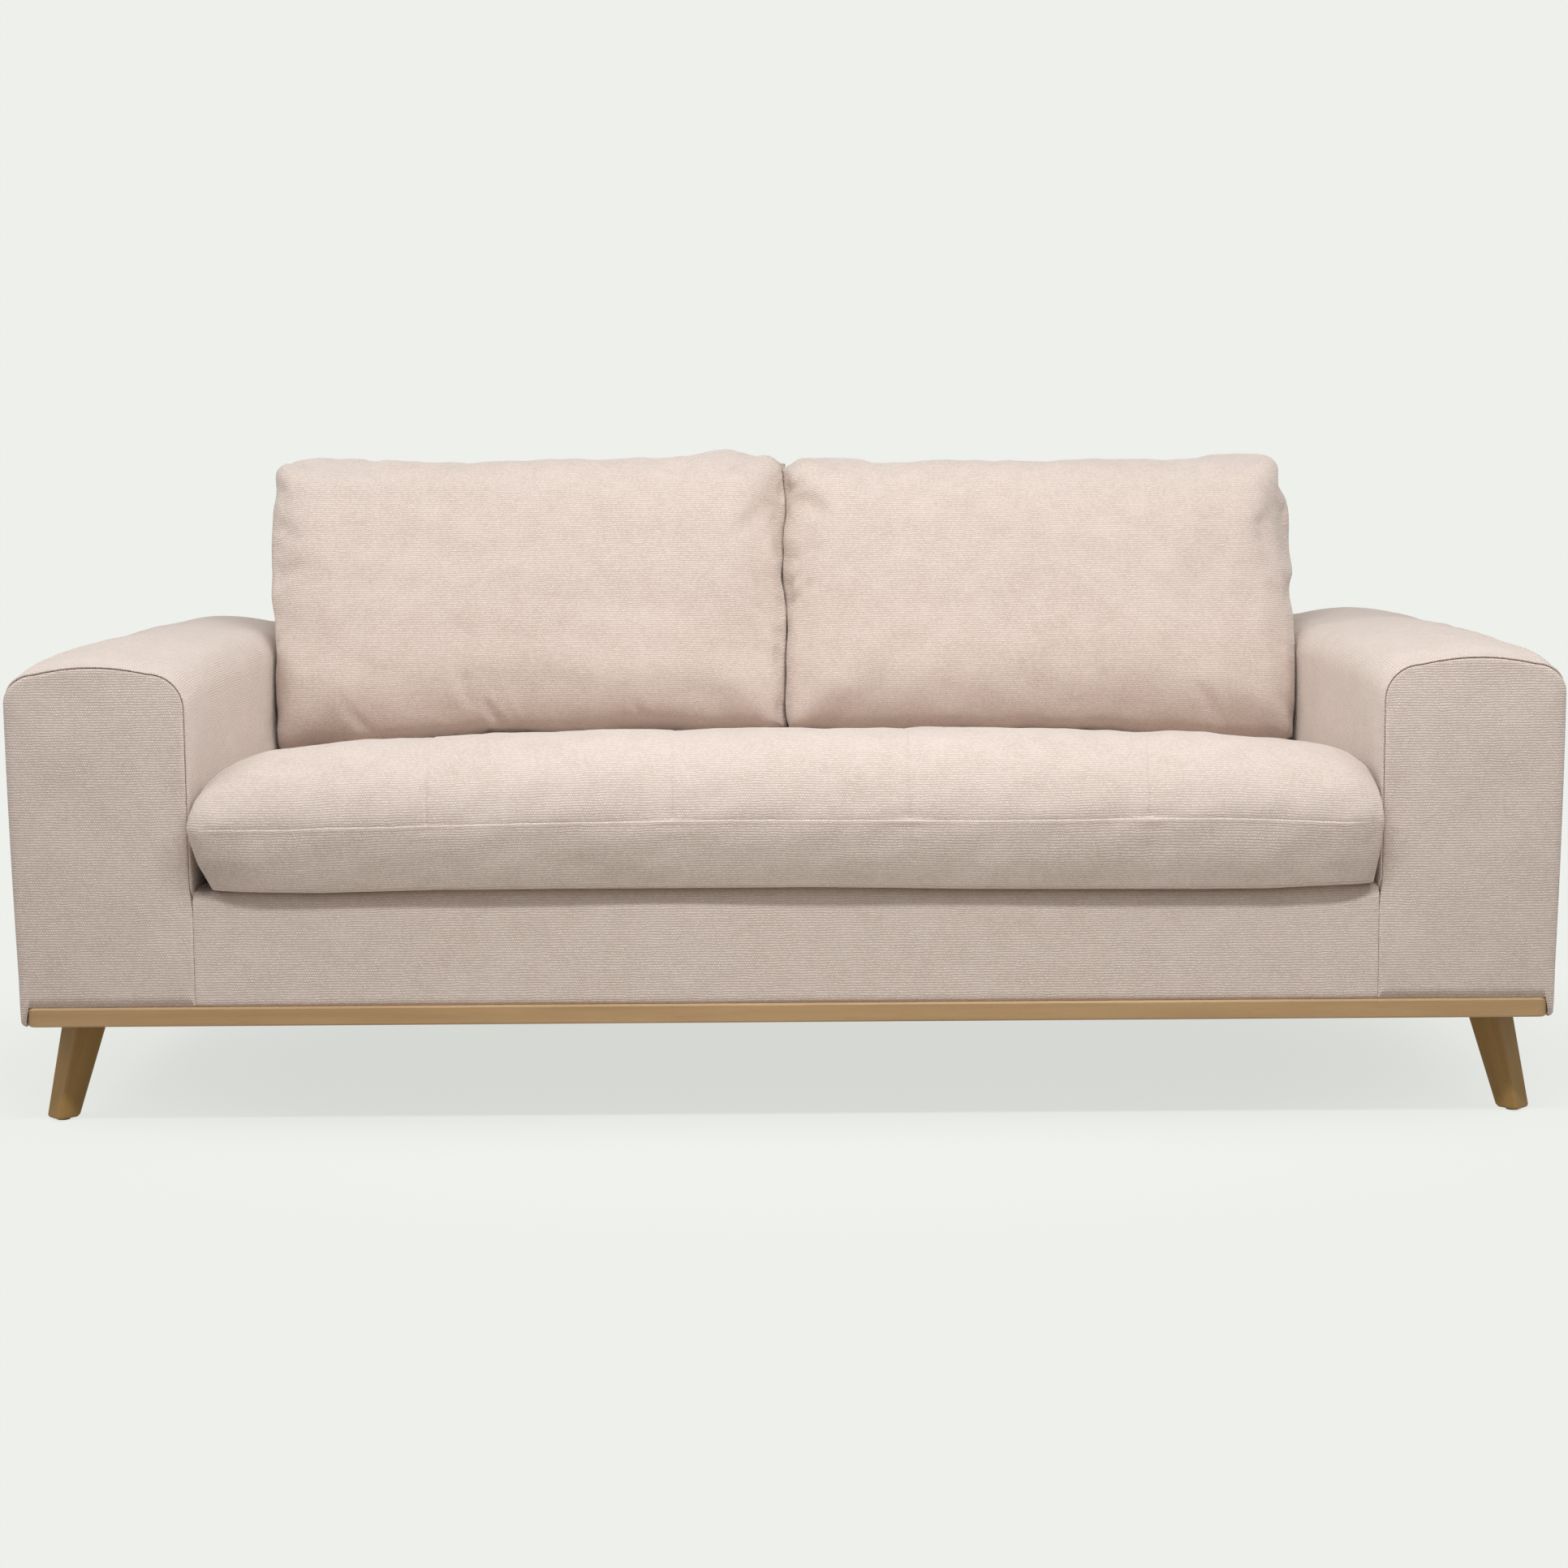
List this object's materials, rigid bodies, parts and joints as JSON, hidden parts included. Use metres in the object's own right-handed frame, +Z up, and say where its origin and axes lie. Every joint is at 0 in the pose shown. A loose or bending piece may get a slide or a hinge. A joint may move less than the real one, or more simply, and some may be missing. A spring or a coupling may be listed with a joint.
{
  "type": "sofa",
  "caption": "Upholstered bench-seat sofa with loose seat and back cushions, rounded box arms and a wooden plinth on splayed tapered wooden legs.",
  "frame": {"origin": "on the floor under the middle of the sofa's own footprint, with the glides standing at z = 0", "axes": "+X to the right as seen from the front, -Y the way the sofa faces, +Z up"},
  "size_m": [2.066, 0.9144, 0.901],
  "materials": {
    "upholstery_fabric": "woven ribbed chenille, warm beige with a pink cast, matt",
    "beech_wood": "light beech, satin lacquer",
    "frame_timber": "raw sawn timber and plywood",
    "spring_steel": "plain drawn wire and zinc plated bolts",
    "glide_plastic": "matt dark plastic",
    "deck_felt": "needled felt platform",
    "dust_lining": "black spun lining",
    "elastic_webbing": "woven elastic webbing"
  },
  "bodies": {
    "frame": {"arm_cover_left": "upholstery_fabric", "arm_cover_right": "upholstery_fabric", "arm_front_board_left": "frame_timber", "arm_front_board_right": "frame_timber", "arm_front_panel_left": "upholstery_fabric", "arm_front_panel_right": "upholstery_fabric", "arm_rear_board_left": "frame_timber", "arm_rear_board_right": "frame_timber", "arm_top_rail_left": "frame_timber", "arm_top_rail_right": "frame_timber", "back_post_left": "frame_timber", "back_post_right": "frame_timber", "back_strap_1": "elastic_webbing", "back_strap_2": "elastic_webbing", "back_strap_3": "elastic_webbing", "back_top_rail": "frame_timber", "base_rail_left": "frame_timber", "base_rail_rear": "frame_timber", "base_rail_right": "frame_timber", "corner_block_front_left": "frame_timber", "corner_block_front_right": "frame_timber", "corner_block_rear_left": "frame_timber", "corner_block_rear_right": "frame_timber", "deck_pad": "deck_felt", "dust_cover": "dust_lining", "front_rail_cover": "upholstery_fabric", "glide_front_left": "glide_plastic", "glide_front_right": "glide_plastic", "glide_rear_left": "glide_plastic", "glide_rear_right": "glide_plastic", "inside_back_pad": "upholstery_fabric", "leg_bolt_front_left": "spring_steel", "leg_bolt_front_right": "spring_steel", "leg_bolt_rear_left": "spring_steel", "leg_bolt_rear_right": "spring_steel", "leg_front_left": "beech_wood", "leg_front_right": "beech_wood", "leg_rear_left": "beech_wood", "leg_rear_right": "beech_wood", "outside_back_panel": "upholstery_fabric", "plinth_front": "beech_wood", "seat_rail_front": "frame_timber", "seat_rail_left": "frame_timber", "seat_rail_middle": "frame_timber", "seat_rail_rear": "frame_timber", "seat_rail_right": "frame_timber", "sinuous_spring_1": "spring_steel", "sinuous_spring_2": "spring_steel", "sinuous_spring_3": "spring_steel", "sinuous_spring_4": "spring_steel", "sinuous_spring_5": "spring_steel", "sinuous_spring_6": "spring_steel", "sinuous_spring_7": "spring_steel", "sinuous_spring_8": "spring_steel", "spring_clip_strip_front": "glide_plastic", "spring_clip_strip_rear": "glide_plastic"},
    "seat_cushion": {"seat_cushion": "upholstery_fabric"},
    "back_cushion_left": {"back_cushion_left": "upholstery_fabric"},
    "back_cushion_right": {"back_cushion_right": "upholstery_fabric"}
  },
  "joints": [
    {"name": "seat_cushion_slide", "type": "slide", "parent": "frame", "child": "seat_cushion", "axis": [0, -1, 0], "range_m": [0, 0.78]},
    {"name": "back_cushion_left_lift", "type": "slide", "parent": "frame", "child": "back_cushion_left", "axis": [0, 0, 1], "range_m": [0, 0.5]},
    {"name": "back_cushion_right_lift", "type": "slide", "parent": "frame", "child": "back_cushion_right", "axis": [0, 0, 1], "range_m": [0, 0.5]}
  ]
}
